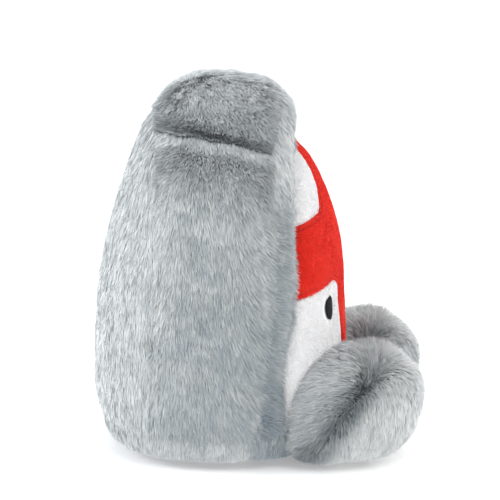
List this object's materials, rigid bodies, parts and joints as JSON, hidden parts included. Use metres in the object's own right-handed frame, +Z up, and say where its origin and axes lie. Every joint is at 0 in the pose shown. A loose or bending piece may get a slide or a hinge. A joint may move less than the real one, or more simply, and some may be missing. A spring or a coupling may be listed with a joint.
{
  "type": "plush toy",
  "caption": "Sitting stuffed toy in long-pile grey fur fabric, with a short-pile red and white face, embroidered eyes and fat stuffed legs that lift.",
  "frame": {"origin": "on the floor under the middle of the whole toy's footprint", "axes": "+Z up, -Y the way the face looks and the legs point, -X the toy's own right side"},
  "size_m": [0.3, 0.3449, 0.4],
  "materials": {
    "grey_fur": "long-pile fur fabric, 12 mm, brushed down",
    "dark_fur": "long-pile fur fabric, standing pile that shows its darker roots",
    "red_plush": "short-pile plush, 2 mm, applique",
    "white_plush": "short-pile plush, 2 mm",
    "black_thread": "satin-stitch embroidery thread",
    "fibre_filling": "loose polyester fibre",
    "bag_cloth": "plain woven cotton"
  },
  "bodies": {
    "body": {"base_panel": "grey_fur", "back_panel": "grey_fur", "top_gusset": "dark_fur", "brow_panel": "grey_fur", "side_gusset_right": "grey_fur", "side_gusset_left": "grey_fur", "front_border_right": "dark_fur", "front_border_left": "dark_fur", "red_blaze": "red_plush", "white_upper_right": "white_plush", "white_upper_left": "white_plush", "white_cheek_right": "white_plush", "white_cheek_left": "white_plush", "eye_right": "black_thread", "eye_left": "black_thread", "body_filling": "fibre_filling", "pellet_bag": "bag_cloth"},
    "leg_right": {"leg_tube_right": "grey_fur", "sole_cap_right": "grey_fur", "leg_filling_right": "fibre_filling"},
    "leg_left": {"leg_tube_left": "grey_fur", "sole_cap_left": "grey_fur", "leg_filling_left": "fibre_filling"}
  },
  "joints": [
    {"name": "leg_right_lift", "type": "hinge", "parent": "body", "child": "leg_right", "pos_m": [-0.074, -0.084, 0.121], "axis": [-1, 0, 0], "range_deg": [0, 35], "stiffness_Nm_per_rad": 0.25},
    {"name": "leg_left_lift", "type": "hinge", "parent": "body", "child": "leg_left", "pos_m": [0.074, -0.084, 0.121], "axis": [-1, 0, 0], "range_deg": [0, 35], "stiffness_Nm_per_rad": 0.25}
  ]
}
